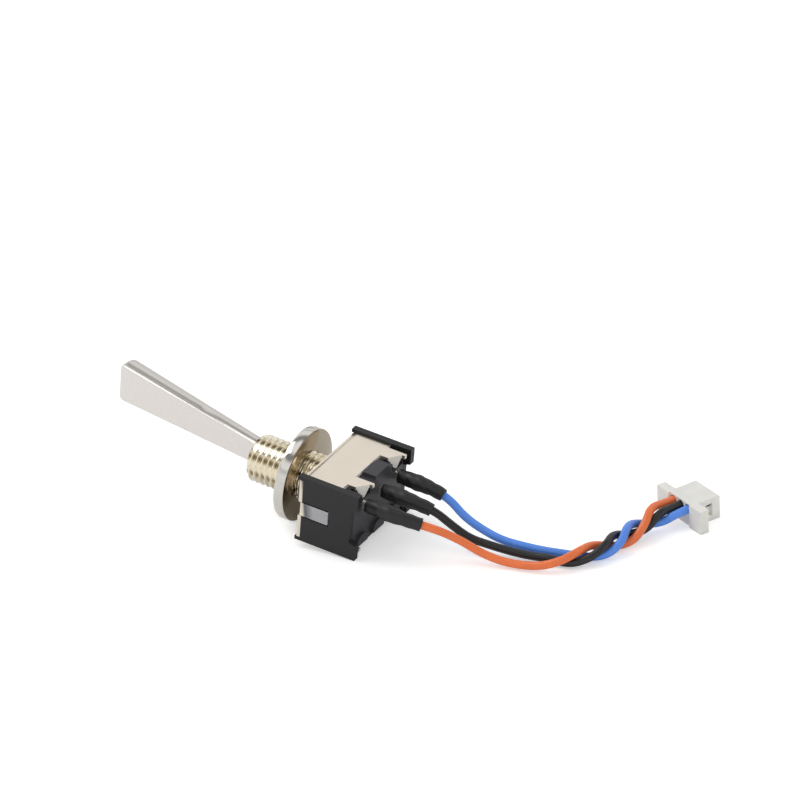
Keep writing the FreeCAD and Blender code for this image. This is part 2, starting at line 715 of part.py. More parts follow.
def makeRun(points, label):
    # Straight runs joined by tangent arcs, each arc as large as its two runs allow.
    corners = [Vector(*point) for point in points]
    edges = []
    radii = []
    start = corners[0]
    for before, corner, after in zip(corners, corners[1:], corners[2:]):
        backward = (before - corner).normalize()
        forward = (after - corner).normalize()
        turn = math.pi - backward.getAngle(forward)
        reach = 0.45 * min(before.distanceToPoint(corner), after.distanceToPoint(corner))
        radius = reach / math.tan(turn / 2)
        radii.append(radius)
        enter = corner + backward * reach
        leave = corner + forward * reach
        inward = (backward + forward).normalize()
        top = corner + inward * (radius / math.cos(turn / 2) - radius)
        edges.append(Part.LineSegment(start, enter).toShape())
        edges.append(Part.Arc(enter, top, leave).toShape())
        start = leave
    edges.append(Part.LineSegment(start, corners[-1]).toShape())
    print(label, "bend radii", [round(radius, 1) for radius in radii])
    return edges


def makeTube(edges, radius):
    # A round tube along joined edges, with its volume set against its section times its length.
    path = Part.Wire(edges)
    first = edges[0]
    start = first.valueAt(first.FirstParameter)
    ring = Part.Wire(Part.makeCircle(radius, start, first.tangentAt(first.FirstParameter)))
    tube = path.makePipeShell([ring], True, True)
    expected = math.pi * radius ** 2 * path.Length
    if abs(tube.Volume / expected - 1) > 0.01:
        raise ValueError(f"tube volume {tube.Volume} against {expected}")
    return tube


def makeWire(colour, sleeveLong):
    edges = makeRun(wireRoutes[colour], f"wire_{colour}")
    conductor = doc.addObject("Part::Feature", "Conductor")
    conductor.Shape = makeTube(edges, number("conductorRadius"))
    keep(conductor, f"conductor_{colour}", None)
    wire = doc.addObject("Part::Feature", "Wire")
    wire.Shape = makeTube(edges, number("wireDiameter / 2")).cut(conductor.Shape)
    keep(wire, f"wire_{colour}", None)
    # The shrunk tube starts behind the base, covers the terminal and grips the wire's first bends.
    first, second = [vertex.Point for vertex in edges[0].Vertexes]
    front = first + (first - second).normalize() * number("terminalBack - sleeveFront")
    covered = [Part.LineSegment(front, second).toShape()]
    left = number(sleeveLong) - covered[0].Length
    for edge in edges[1:]:
        share = min(left / edge.Length, 1)
        start, end = edge.ParameterRange
        covered.append(edge.Curve.toShape(start, start + (end - start) * share))
        left -= edge.Length
        if left <= 0:
            break
    sleeve = doc.addObject("Part::Feature", "Sleeve")
    sleeve.Shape = makeTube(covered, number("sleeveRadius")).cut(makeTube(covered, number("sleeveBore")))
    keep(sleeve, f"sleeve_{colour}", None)


plugPlace = "placement(vector(plugAcross; plugBack; 0); rotation(vector(0; 0; 1); plugTurn))"


def makePlug():
    # Small plug housing: X towards its mating end, Y along the row, on the surface.
    body = newBody("Plug")
    block = newSketch(body, "XY_Plane")
    addOutline(block, rectangle("0", "-plugWide / 2", "plugLong", "plugWide / 2"))
    extrude(body, "Pad", block, "plugTall")
    roundEdges(body, "slotMargin", lambda edge, middlePoint: middlePoint.z > number("plugTall") - 0.01)
    wings = newSketch(body, "XY_Plane")
    addOutline(wings, rectangle("-wingBack", "-(plugWide / 2 + wingOut)",
                                "wingLong - wingBack", "-(plugWide / 2 - wingBack)"))
    addOutline(wings, rectangle("-wingBack", "plugWide / 2 - wingBack",
                                "wingLong - wingBack", "plugWide / 2 + wingOut"))
    extrude(body, "Pad", wings, "plugTall")
    latches = newSketch(body, "XY_Plane", "placement(vector(0; 0; plugTall / 4); rotation(vector(0; 0; 1); 0))")
    for side in (1, -1):
        addOutline(latches, rectangle("plugLong / 2", f"{side} * (plugWide / 2 - latchDeep)",
                                      "plugLong / 2 + latchLong", f"{side} * (plugWide / 2 + latchDeep)"))
    extrude(body, "Pocket", latches, "latchTall", reverse=True)
    holes = newSketch(body, "YZ_Plane")
    pinHoles = newSketch(body, "YZ_Plane")
    for place in (-1, 0, 1):
        centre = f"{place} * plugPitch"
        addCircle(holes, centre, "plugHoleHigh", "plugHole")
        addOutline(pinHoles, rectangle(f"{centre} - pinHole / 2", "plugHoleHigh - pinHole / 2",
                                       f"{centre} + pinHole / 2", "plugHoleHigh + pinHole / 2"))
    extrude(body, "Pocket", holes, "2 * plugHoleDeep", midplane=True)
    extrude(body, "Pocket", pinHoles, "3 * plugLong", midplane=True)
    return keep(body, "plug_housing", plugPlace)


def makeCrimp(colour, place):
    # Round barrel behind a pin socket, inside its hole in the plug.
    barrel = doc.addObject("Part::Cylinder", "Barrel")
    bind(barrel, "Radius", "crimpRadius")
    bind(barrel, "Height", "crimpLong")
    bore = doc.addObject("Part::Cylinder", "Bore")
    bind(bore, "Radius", "crimpBore")
    bind(bore, "Height", "crimpLong")
    bind(bore, "Placement", "placement(vector(0; 0; crimpLong / 3); rotation(vector(0; 0; 1); 0))")
    crimp = doc.addObject("Part::Cut", "Crimp")
    crimp.Base = barrel
    crimp.Tool = bore
    return keep(crimp, f"crimp_{colour}", f"{plugPlace} * placement(vector(crimpStart; {place} * plugPitch;"
                                          " plugHoleHigh); rotation(vector(0; 1; 0); 90))")


makeBushing()
makeNut()
makeFrame()
makeCase()
makeBase()
makeLever()
makePin()
makeSlider()
makeContact()
contactTop = "coreBack - headRise - dimpleRise - contactThick - seatGap"
makeSpring("contact_spring", number("springRadius"), "springTop", contactTop, "terminalHigh")
makeSpring("detent_spring", number("detentSpring"), "springTop", "coreBack - 2 * detentBall", "-detentLow")
makeDetentBall()
for colour, place in (("orange", -1), ("black", 0), ("blue", 1)):
    makeTerminal(f"terminal_{colour}", place)
    makeCrimp(colour, -place)
    makeWire(colour, f"{colour}Sleeve")
makePlug()
doc.recompute()

faults = [f"{item.Label}: {item.State}" for item in doc.Objects
          if "Invalid" in item.State or "Error" in item.State]
faults += [f"{item.Label}: bad shape" for item in parts
           if item.Shape.isNull() or not item.Shape.isValid() or not item.Shape.Solids]
if faults:
    raise RuntimeError("; ".join(faults))
for item in parts:
    item.Shape.exportStep(f"parts/{item.Label}.step")
print(len(parts), "sub-parts written")
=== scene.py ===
import json
import math

import bmesh
import bpy
import numpy as np
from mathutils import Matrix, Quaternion, Vector


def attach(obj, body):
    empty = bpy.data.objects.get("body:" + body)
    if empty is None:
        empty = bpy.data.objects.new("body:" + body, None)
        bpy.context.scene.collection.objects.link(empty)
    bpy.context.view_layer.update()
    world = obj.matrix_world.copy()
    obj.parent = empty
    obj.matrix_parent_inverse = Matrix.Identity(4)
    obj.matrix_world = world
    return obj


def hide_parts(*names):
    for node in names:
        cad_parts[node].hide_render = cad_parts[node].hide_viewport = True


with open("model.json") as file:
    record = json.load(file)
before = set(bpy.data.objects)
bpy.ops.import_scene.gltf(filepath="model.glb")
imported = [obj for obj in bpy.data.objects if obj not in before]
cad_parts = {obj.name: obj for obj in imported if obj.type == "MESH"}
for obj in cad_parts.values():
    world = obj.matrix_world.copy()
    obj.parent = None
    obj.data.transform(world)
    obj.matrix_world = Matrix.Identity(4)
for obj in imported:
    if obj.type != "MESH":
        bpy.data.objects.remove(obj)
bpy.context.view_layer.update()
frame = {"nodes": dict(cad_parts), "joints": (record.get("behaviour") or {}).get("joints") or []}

millimetre = 0.001
creaseAngle = math.radians(35)  # faces that meet more sharply keep a hard edge

# The switch's own axes: X along the throw, Y towards the lever's tip, Z up from its bushing. It lies with
# its nose raised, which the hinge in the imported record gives, so nothing here repeats that angle.
switch = {"pivotAhead": 4.9}
leverJoint = [joint for joint in frame["joints"] if joint["name"] == "lever_throw"][0]
upAxis = np.array(leverJoint["axis"], float)
noseAxis = np.array([0.0, upAxis[2], -upAxis[1]])
sideAxis = np.array([1.0, 0.0, 0.0])
switchOrigin = np.array(leverJoint["pos_m"], float) - switch["pivotAhead"] * millimetre * noseAxis
noseAngle = math.atan2(noseAxis[2], noseAxis[1])


def inSwitch(points):
    # switch axes in millimetres to the shared frame in metres: origin + x * side + y * nose + z * up
    points = np.asarray(points, float) * millimetre
    return switchOrigin + points[..., 0:1] * sideAxis + points[..., 1:2] * noseAxis + points[..., 2:3] * upAxis


def toLinear(hexCode):
    # sRGB hex to linear red, green, blue
    values = [int(hexCode[i:i + 2], 16) / 255 for i in (1, 3, 5)]
    return [v / 12.92 if v <= 0.04045 else ((v + 0.055) / 1.055) ** 2.4 for v in values] + [1.0]


def addNode(tree, kind, settings=None, links=None):
    # adds a node; a setting names a property or an input, and a link names an input and gives a socket
    node = tree.nodes.new(kind)
    for key, value in (settings or {}).items():
        if isinstance(key, str) and hasattr(node, key):
            setattr(node, key, value)
        else:
            node.inputs[key].default_value = value
    for key, socket in (links or {}).items():
        tree.links.new(socket, node.inputs[key])
    return node


def newObject(name, data):
    item = bpy.data.objects.new(name, data)
    bpy.context.scene.collection.objects.link(item)
    return item


def addPiece(name, mesh, material, body, replaces):
    piece = newObject(name, mesh)
    mesh.materials.clear()
    mesh.materials.append(material)
    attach(piece, body)
    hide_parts(*replaces)
    return piece


def gridMesh(name, points, closeRows=False, closeColumns=False):
    # quads over a rows x columns grid of points; a closed direction joins its last line to its first
    rows, columns = points.shape[:2]
    index = np.arange(rows * columns).reshape(rows, columns)
    down = np.roll(index, -1, 0) if closeRows else index[1:]
    here = index if closeRows else index[:-1]
    right = np.roll(np.stack([here, down]), -1, 2)
    if not closeColumns:
        here, down, right = here[:, :-1], down[:, :-1], right[:, :, :-1]
    quads = np.stack([here, down, right[1], right[0]], -1).reshape(-1, 4)
    mesh = bpy.data.meshes.new(name)
    mesh.from_pydata(points.reshape(-1, 3).tolist(), [], quads.tolist())
    mesh.polygons.foreach_set("use_smooth", np.ones(len(quads), bool))
    mesh.validate()
    mesh.set_sharp_from_angle(angle=creaseAngle)
    return mesh


def sweep(path, radii):
    # rings of radii[row, column] carried along a path; each ring's frame is turned from the last one's by
    # the least turn that keeps it square to the path
    along = np.gradient(path, axis=0)
    along /= np.linalg.norm(along, axis=1)[:, None]
    side = np.zeros_like(path)
    side[0] = np.cross(along[0], (0, 0, 1))
    for row in range(1, len(path)):
        side[row] = side[row - 1] - along[row] * (side[row - 1] @ along[row])
    side /= np.linalg.norm(side, axis=1)[:, None]
    up = np.cross(side, along)
    turn = np.linspace(0, 2 * math.pi, radii.shape[1], endpoint=False)
    ring = np.cos(turn)[None, :, None] * side[:, None] + np.sin(turn)[None, :, None] * up[:, None]
    return path[:, None] + ring * radii[:, :, None]


# The photo's view: places in millimetres, roll in degrees, and a lens for that sensor. Clipping is in metres.
camera = {"place": (-440.65, -286.32, 305.69), "aim": (8.47, -16.31, 13.49), "roll": -2.73, "lens": 229.68,
          "sensor": 36, "clip": (0.01, 20)}


def makeCamera():
    data = bpy.data.cameras.new("photoCamera")
    data.lens = camera["lens"]
    data.sensor_width = camera["sensor"]
    data.clip_start, data.clip_end = camera["clip"]
    item = newObject("photoCamera", data)
    item.location = Vector(camera["place"]) * millimetre
    look = (Vector(camera["aim"]) - Vector(camera["place"])).to_track_quat("-Z", "Y")
    item.rotation_mode = "QUATERNION"
    item.rotation_quaternion = look @ Quaternion((0, 0, 1), math.radians(camera["roll"]))
    bpy.context.scene.camera = item


makeCamera()
print("camera set")

# Colours are what the clean surface shows in even light; the gloss adds to the dark plastics. A metal's grain
# pitch is in millimetres. Each note says what the finish gives the eye.
finishes = {
    # plating over a milled and tumbled lever: a milky sheen that never mirrors sharply
    "satinNickel": {"colour": "#f0ebe6", "roughness": 0.27, "grain": 0.10, "grainPitch": 0.12},
    # bright plating on a turned disc: the room in crisp dark and light bands
    "polishedNickel": {"colour": "#dedbd4", "roughness": 0.08, "grain": 0.03, "grainPitch": 0.10},
    # thin gold wash on the cut thread: pale cream crests that glint; the darker roots are a painted shade and
    # painted reflection tint
    "goldWash": {"colour": "#fdf6e4", "roughness": 0.14, "grain": 0.03, "grainPitch": 0.10},
    # plated cold rolled sheet: warm and even, with soft reflections drawn out by the rolling lines
    "rolledSteel": {"colour": "#f2e8d9", "roughness": 0.30, "grain": 0.12, "grainPitch": 0.18},
    # dipped terminals and crimps: bright and a little wavy
    "tinPlate": {"colour": "#e2e0da", "roughness": 0.22, "grain": 0.10, "grainPitch": 0.15},
    # drawn wire, ground pin and ball: darker grey with small hard glints
    "springSteel": {"colour": "#b9b8b6", "roughness": 0.25, "grain": 0.05, "grainPitch": 0.10},
    # the wires' cores: silver with a warmth from the copper under it
    "tinnedCopper": {"colour": "#d8c8b8", "roughness": 0.25, "grain": 0.10, "grainPitch": 0.10},
    # moulded case: near black under a soft, even shine
    "phenolic": {"colour": "#17171a", "roughness": 0.46, "texture": 0.25},
    # moulded base: charcoal, lighter than the case beside it
    "phenolicBase": {"colour": "#38383c", "roughness": 0.44, "texture": 0.25},
    # tube shrunk by heat: black and rather dull, with a skin that isn't quite even
    "shrinkTube": {"colour": "#1d1d1d", "roughness": 0.42, "texture": 0.22},
    # moulded slider: ivory and waxy
    "acetal": {"colour": "#e8e5da", "roughness": 0.45, "texture": 0.30},
    # moulded plug: milky white that lets a little light in
    "nylon": {"colour": "#eeede7", "roughness": 0.42, "texture": 0.25},
    # extruded wire skins: full colour with a narrow highlight along the wire
    "orangeVinyl": {"colour": "#f67a42", "roughness": 0.26, "texture": 0.30},
    "blackVinyl": {"colour": "#1f1f20", "roughness": 0.26, "texture": 0.30},
    "blueVinyl": {"colour": "#5a93f4", "roughness": 0.26, "texture": 0.30},
}
# Slow unevenness of a skin: its drift in millimetres across, and as shares how far it moves the roughness
# and, on plastic, the colour. The depths of grain and pebble and the reach of light are in millimetres too.
metalSkin = {"drift": 2.2, "detail": 2.0, "smoothest": 0.8, "roughest": 1.25, "grainDetail": 3.0,
             "grainDeep": 0.02}
plasticSkin = {"drift": 3.0, "detail": 3.0, "smoothest": 0.85, "roughest": 1.2, "pebbleDetail": 4.0,
               "pebbleDeep": 0.012, "darkest": 0.86, "palest": 1.14, "ior": 1.5, "lightReach": 0.6,
               "lightTint": (1.0, 0.9, 0.7)}


def newMaterial(name):
    material = bpy.data.materials.new(name)
    material.use_nodes = True
    tree = material.node_tree
    tree.nodes.clear()
    shader = addNode(tree, "ShaderNodeBsdfPrincipled")
    addNode(tree, "ShaderNodeOutputMaterial", links={"Surface": shader.outputs["BSDF"]})
    return material, tree, shader


def tintBy(tree, mask, colour, before):
    # lays a colour over what was there before, as far as the mask goes from 0 to 1
    mixed = addNode(tree, "ShaderNodeMix", {"data_type": "RGBA", 7: toLinear(colour)}, {0: mask})
    if isinstance(before, str):
        mixed.inputs[6].default_value = toLinear(before)
    else:
        tree.links.new(before, mixed.inputs[6])
    return mixed.outputs[2]


def unevenGloss(tree, place, roughness, skin):
    # a slow drift over the surface, and the roughness that follows it and breaks up the highlights
    drift = addNode(tree, "ShaderNodeTexNoise",
                    {"Scale": 1 / (skin["drift"] * millimetre), "Detail": skin["detail"]},
                    {"Vector": place.outputs["Object"]})
    rough = addNode(tree, "ShaderNodeMapRange",
                    {"To Min": roughness * skin["smoothest"], "To Max": roughness * skin["roughest"]},
                    {"Value": drift.outputs["Fac"]})
    return drift.outputs["Fac"], rough.outputs["Result"]


def metalFinish(name, turn=(0, 0, 0), stretch=(1, 1, 1), tongue=None, root=None, paintedFacing=None):
    # plated or rolled metal: fine grain drawn out along the working direction, and plating of uneven gloss
    finish = finishes[name]
    material, tree, shader = newMaterial(name)
    place = addNode(tree, "ShaderNodeTexCoord")
    turned = addNode(tree, "ShaderNodeMapping", {"Rotation": turn, "Scale": stretch},
                     {"Vector": place.outputs["Object"]})
    grain = addNode(tree, "ShaderNodeTexNoise",
                    {"Scale": 1 / (finish["grainPitch"] * millimetre), "Detail": metalSkin["grainDetail"]},
                    {"Vector": turned.outputs["Vector"]})
    bump = addNode(tree, "ShaderNodeBump",
                   {"Strength": finish["grain"], "Distance": metalSkin["grainDeep"] * millimetre},
                   {"Height": grain.outputs["Fac"]})
    colour = finish["colour"]
    roughness = unevenGloss(tree, place, finish["roughness"], metalSkin)[1]
    if tongue:
        # beyond a distance from the middle plane the tongue is coloured grey, darker at its bend
        spot = addNode(tree, "ShaderNodeSeparateXYZ", {}, {"Vector": place.outputs["Object"]})
        side = addNode(tree, "ShaderNodeMath", {"operation": "ABSOLUTE"}, {0: spot.outputs["X"]})
        far = addNode(tree, "ShaderNodeMath", {"operation": "GREATER_THAN", 1: tongue["side"] * millimetre},
                      {0: side.outputs[0]})
        for start, end, shade in tongue["shades"]:
            along = addNode(tree, "ShaderNodeMapRange",
                            {"From Min": start * millimetre, "From Max": end * millimetre},
                            {"Value": spot.outputs["Y"]})
            both = addNode(tree, "ShaderNodeMath", {"operation": "MULTIPLY"},
                           {0: far.outputs[0], 1: along.outputs["Result"]})
            colour = tintBy(tree, both.outputs[0], shade, colour)
    if root:
        # painted shade and painted reflection darken a thread's root, and the mesh carries how much from 0 to 1
        deep = addNode(tree, "ShaderNodeAttribute", {"attribute_name": "rootPaintedShade"})
        colour = tintBy(tree, deep.outputs["Fac"], root, colour)
    if paintedFacing:
        # painted light and shade: faces that look along one axis get a colour and roughness of their own
        facing = addNode(tree, "ShaderNodeSeparateXYZ", {}, {"Vector": place.outputs["Normal"]})
        share = addNode(tree, "ShaderNodeMapRange", {"From Min": paintedFacing["from"], "From Max": paintedFacing["to"]},
                        {"Value": facing.outputs[paintedFacing["axis"]]})
        colour = tintBy(tree, share.outputs["Result"], paintedFacing["colour"], colour)
        eased = addNode(tree, "ShaderNodeMix", {3: paintedFacing["roughness"]}, {0: share.outputs["Result"], 2: roughness})
        roughness = eased.outputs[0]
    if isinstance(colour, str):
        shader.inputs["Base Color"].default_value = toLinear(colour)
    else:
        tree.links.new(colour, shader.inputs["Base Color"])
    shader.inputs["Metallic"].default_value = 1.0
    tree.links.new(roughness, shader.inputs["Roughness"])
    tree.links.new(bump.outputs["Normal"], shader.inputs["Normal"])
    return material


def plasticFinish(name, grit=0.08, translucence=0.0):
    # moulded or extruded plastic: a fine pebble from the tool or die, grit millimetres across, slightly
    # uneven gloss, and a faint drift of shade from handling
    finish = finishes[name]
    material, tree, shader = newMaterial(name)
    place = addNode(tree, "ShaderNodeTexCoord")
    pebble = addNode(tree, "ShaderNodeTexNoise",
                     {"Scale": 1 / (grit * millimetre), "Detail": plasticSkin["pebbleDetail"]},
                     {"Vector": place.outputs["Object"]})
    bump = addNode(tree, "ShaderNodeBump",
                   {"Strength": finish["texture"], "Distance": plasticSkin["pebbleDeep"] * millimetre},
                   {"Height": pebble.outputs["Fac"]})
    drift, roughness = unevenGloss(tree, place, finish["roughness"], plasticSkin)
    base = toLinear(finish["colour"])[:3]
    shade = addNode(tree, "ShaderNodeMix",
                    {"data_type": "RGBA", 6: [c * plasticSkin["darkest"] for c in base] + [1],
                     7: [min(c * plasticSkin["palest"], 1) for c in base] + [1]}, {0: drift})
    tree.links.new(shade.outputs[2], shader.inputs["Base Color"])
    tree.links.new(roughness, shader.inputs["Roughness"])
    tree.links.new(bump.outputs["Normal"], shader.inputs["Normal"])
    shader.inputs["IOR"].default_value = plasticSkin["ior"]
    if translucence:
        shader.inputs["Subsurface Weight"].default_value = translucence
        shader.inputs["Subsurface Radius"].default_value = plasticSkin["lightTint"]
        shader.inputs["Subsurface Scale"].default_value = plasticSkin["lightReach"] * millimetre
    return material


# The painted light and shade by facing go by a face's own direction, from 0 to 1 between two of its values along an
# axis. The grey tongue goes by places in millimetres along the switch.
leverGrain = {"turn": (0, 0, math.radians(11.3)), "stretch": (1, 0.12, 1)}  # along the tilted lever
paintedEdgeShade = {"axis": "Z", "from": 0.45, "to": 0.75, "colour": "#dfdbd6", "roughness": 0.24}  # painted shade on the rounded edge beside its flats
satinNickel = metalFinish("satinNickel", **leverGrain, paintedFacing=paintedEdgeShade)
paintedBackReflection = {"axis": "Y", "from": -0.30, "to": -0.60, "colour": "#a89c88", "roughness": 0.12}  # painted dark brown reflection on the rear faces
polishedNickel = metalFinish("polishedNickel", paintedFacing=paintedBackReflection)
# the root colour is painted shade and painted reflection in the thread's roots
goldWash = metalFinish("goldWash", root="#8e7c54")
rollingLines = {"turn": (-noseAngle, 0, 0), "stretch": (0.15, 1, 1)}
greyTongue = {"side": 6.4, "shades": [(-11.35, -11.7, "#6e6e70"), (-11.8, -12.8, "#b4b4b7")]}  # grey, darkest at its bend
paintedCornerHighlight = {"axis": "Y", "from": -0.30, "to": -0.60, "colour": "#fdfbf6", "roughness": 0.85}  # painted highlight on rear-facing faces, the folded corners most
rolledSteel = metalFinish("rolledSteel", **rollingLines, tongue=greyTongue, paintedFacing=paintedCornerHighlight)
tinPlate = metalFinish("tinPlate")
springSteel = metalFinish("springSteel")
tinnedCopper = metalFinish("tinnedCopper")
phenolic = plasticFinish("phenolic")
phenolicBase = plasticFinish("phenolicBase")
shrinkTube = plasticFinish("shrinkTube", 0.15)
acetal = plasticFinish("acetal")
nylon = plasticFinish("nylon", 0.1, translucence=0.25)
vinyls = {colour: plasticFinish(f"{colour}Vinyl", 0.2) for colour in ("orange", "black", "blue")}
print("finishes made")

wire = {"thick": 1.0, "steps": 12, "ringSteps": 6}  # millimetres across, and how finely it is drawn
# Control points in millimetres from each terminal to its crimp in the plug, on the lines in the photo.
wireRoutes = {
    "orange": [
        (-3.80, -20.38, 5.95), (-3.80, -22.76, 5.65), (-2.98, -25.15, 4.82), (-1.96, -27.43, 3.92),
        (-1.15, -29.63, 2.75), (-0.66, -31.82, 1.49), (-0.22, -34.22, 0.76), (0.23, -36.77, 0.63),
        (0.72, -39.24, 0.92), (2.05, -41.20, 1.53), (4.38, -42.11, 1.80), (6.84, -42.48, 1.40),
        (8.58, -44.12, 0.52), (10.38, -45.93, 0.77), (12.42, -46.49, 2.25), (14.95, -45.87, 2.95),
        (17.72, -46.28, 2.15), (19.97, -47.37, 2.15),
    ],
    "black": [
        (0.00, -20.38, 5.95), (0.00, -22.76, 5.65), (0.59, -25.11, 4.71), (0.75, -27.19, 3.29),
        (0.94, -29.34, 2.00), (1.48, -31.64, 1.41), (1.94, -34.09, 0.95), (2.36, -36.58, 0.72),
        (2.77, -39.01, 0.79), (3.03, -41.45, 0.47), (4.47, -43.47, 1.09), (6.64, -44.36, 1.95),
        (9.04, -43.90, 1.90), (11.06, -44.57, 0.95), (12.86, -46.33, 1.03), (14.97, -46.90, 2.37),
        (17.11, -47.53, 2.15), (19.35, -48.63, 2.15),
    ],
    "blue": [
        (3.80, -20.38, 5.95), (3.80, -22.76, 5.65), (4.03, -25.14, 4.53), (3.55, -27.28, 3.00),
        (3.37, -29.63, 2.02), (3.45, -32.21, 1.14), (3.77, -34.80, 0.86), (4.19, -37.39, 0.64),
        (4.73, -40.02, 0.60), (5.25, -42.65, 0.52), (6.56, -44.62, 0.69), (8.46, -45.46, 1.66),
        (10.60, -44.94, 2.28), (12.46, -44.73, 1.79), (14.07, -45.51, 1.08), (15.25, -47.06, 0.96),
        (16.49, -48.79, 2.15), (18.74, -49.89, 2.15),
    ],
}


def makeWire(colour):
    curve = bpy.data.curves.new(f"{colour}Wire", "CURVE")
    curve.dimensions = "3D"
    curve.resolution_u = wire["steps"]
    spline = curve.splines.new("NURBS")
    route = np.array(wireRoutes[colour]) * millimetre
    spline.points.add(len(route) - 1)
    spline.points.foreach_set("co", np.column_stack([route, np.ones(len(route))]).ravel())
    spline.order_u = 3
    spline.use_endpoint_u = True
    piece = newObject(f"{colour}Wire", curve)
    line = bpy.data.meshes.new_from_object(piece)  # the drawn line, while the curve has no thickness
    points = np.zeros(len(line.vertices) * 3)
    line.vertices.foreach_get("co", points)
    bpy.data.meshes.remove(line)
    curve.bevel_depth = wire["thick"] / 2 * millimetre
    curve.bevel_resolution = wire["ringSteps"]
    curve.use_fill_caps = True
    curve.materials.append(vinyls[colour])
    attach(piece, "body")
    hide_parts(f"wire_{colour}")
    return piece, points.reshape(-1, 3)


# Shrunk tube in millimetres: how far it reaches in front of the wire's first point, its radius at the start,
# over the solder joint and at the end, and its bore. Places along it are shares of its length.
sleeve = {"front": 1.85, "bore": 0.64, "start": 0.84, "joint": 0.98, "end": 0.80, "jointAt": 0.42,
          "jointSpread": 0.22, "rollIn": [(0, 0.05), (0.04, 0), (0.97, 0), (1, 0.05)], "ripple": 0.025,
          "ripples": 9, "flat": 0.06, "flatTo": 1 / 2.6, "wireGap": 0.04, "rows": 60, "columns": 32,
          "long": {"orange": 7.0, "black": 6.4, "blue": 6.0}}


def makeSleeve(colour, line):
    # tube swept straight over the terminal, then on the wire's own line. Its radius runs from start to end
    # with a bell over the joint, both ends roll in to the bore, a wave of 2 * turn ripples it, and it is
    # flattened where it leaves the flat terminal.
    start = line[0] - (line[1] - line[0]) / np.linalg.norm(line[1] - line[0]) * sleeve["front"] * millimetre
    points = np.vstack([start, line])
    reach = np.concatenate([[0], np.cumsum(np.linalg.norm(np.diff(points, axis=0), axis=1))])
    long = sleeve["long"][colour] * millimetre
    steps = np.linspace(0, long, sleeve["rows"])
    path = np.stack([np.interp(steps, reach, points[:, axis]) for axis in range(3)], 1)
    share = steps / long
    turn = np.linspace(0, 2 * math.pi, sleeve["columns"], endpoint=False)
    swell = np.exp(-((share - sleeve["jointAt"]) / sleeve["jointSpread"]) ** 2)
    outer = sleeve["start"] + (sleeve["end"] - sleeve["start"]) * share
    outer = outer + (sleeve["joint"] - outer) * swell - np.interp(share, *zip(*sleeve["rollIn"]))
    wave = sleeve["ripples"] * share[:, None] * math.pi + 2 * turn[None] + len(colour)
    ripple = sleeve["ripple"] * np.sin(wave)
    flat = sleeve["flat"] * np.clip(1 - share[:, None] / sleeve["flatTo"], 0, 1) * np.cos(2 * turn[None])
    outside = sweep(path, (outer[:, None] + ripple - flat) * millimetre)
    inner = np.interp(share, [0, 1], [sleeve["bore"], wire["thick"] / 2 + sleeve["wireGap"]])
    inside = sweep(path, np.repeat(inner[:, None], len(turn), 1) * millimetre)
    mesh = gridMesh(f"{colour}Sleeve", np.concatenate([outside, inside[::-1]]), closeRows=True, closeColumns=True)
    addPiece(f"{colour}Sleeve", mesh, shrinkTube, "body", [f"sleeve_{colour}"])


wirePieces = {}
for colour in wireRoutes:
    wirePieces[colour], line = makeWire(colour)
    makeSleeve(colour, line)
print("wires and sleeves made")


# Rounding of each copy's edges in millimetres and the angle from which an edge counts, and what is merged
# first: points this near in millimetres, and faces this flat in degrees.
softening = {"case": 0.10, "terminal_base": 0.08, "frame": 0.07, "plug_housing": 0.10, "edgeFrom": 30,
             "mergeWithin": 0.001, "flatWithin": 0.5}


def softenedCopy(node, name, material):
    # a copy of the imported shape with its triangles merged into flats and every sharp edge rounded
    mesh = frame["nodes"][node].data.copy()
    mesh.name = name
    work = bmesh.new()
    work.from_mesh(mesh)
    bmesh.ops.remove_doubles(work, verts=work.verts, dist=softening["mergeWithin"] * millimetre)
    bmesh.ops.dissolve_limit(work, angle_limit=math.radians(softening["flatWithin"]), verts=work.verts,
                             edges=work.edges)
    work.to_mesh(mesh)
    work.free()
    if "custom_normal" in mesh.attributes:
        mesh.attributes.remove(mesh.attributes["custom_normal"])
    mesh.polygons.foreach_set("use_smooth", np.ones(len(mesh.polygons), bool))
    piece = addPiece(name, mesh, material, "body", [node])
    bevel = piece.modifiers.new("edges", "BEVEL")
    bevel.width = softening[node] * millimetre
    bevel.segments = 2
    bevel.limit_method = "ANGLE"
    bevel.angle_limit = math.radians(softening["edgeFrom"])
    bevel.harden_normals = True
    return piece


softenedCopy("case", "endWallCase", phenolic)
softenedCopy("terminal_base", "terminalBase", phenolicBase)
softenedCopy("frame", "stampedFrame", rolledSteel)
plugPiece = softenedCopy("plug_housing", "plugHousing", nylon)
print("case, base, frame and plug made")

# Millimetres from the front plate and from the nose axis; turn in degrees. Edge is the outer rounding, lip
# the bore's, step the width of a slot's inner wall, and margin how far past a slot's edge the columns crowd.
# Round is where a quarter circle's middle lies, and guard keeps the face flat beside it, both in edges.
nut = {"radius": 5.76, "bore": 3.0, "back": 2.6, "thick": 1.35, "edge": 0.15, "round": 0.3, "guard": 2.5,
       "lip": 0.08, "slotHalf": 0.45, "slotIn": 1.3, "slotDeep": 0.5, "step": 0.04, "margin": 1.06,
       "turn": 120, "columns": 40}


